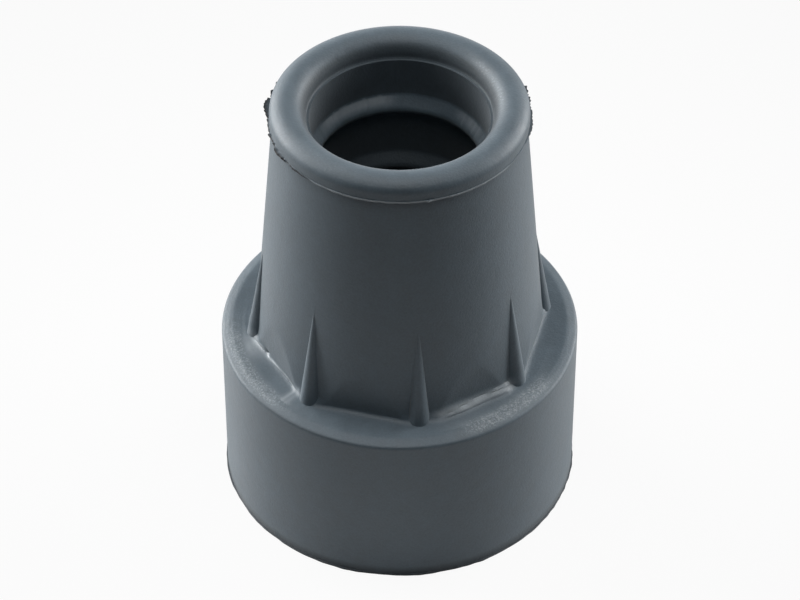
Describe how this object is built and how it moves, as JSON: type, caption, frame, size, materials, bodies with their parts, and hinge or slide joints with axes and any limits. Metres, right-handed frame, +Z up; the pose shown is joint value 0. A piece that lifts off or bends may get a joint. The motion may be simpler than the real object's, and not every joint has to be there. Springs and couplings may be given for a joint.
{
  "type": "rubber cane tip",
  "caption": "Grey rubber foot for the lower end of a cane or crutch tube: a tapered, ribbed sleeve with an internally ringed blind socket on a wide flat round foot.",
  "frame": {"origin": "middle of the sole, where the tip stands on the ground", "axes": "+Z up the cane, along the socket; -Y is the side with a rib 7.5 degrees round towards +X"},
  "size_m": [0.0406, 0.0406, 0.0523],
  "materials": {
    "grey_rubber": "matt moulded rubber with a faint sheen, pale dust at the foot and trimmed flash at the mould lines"
  },
  "bodies": {
    "root": {"cane_tip": "grey_rubber"}
  },
  "joints": []
}
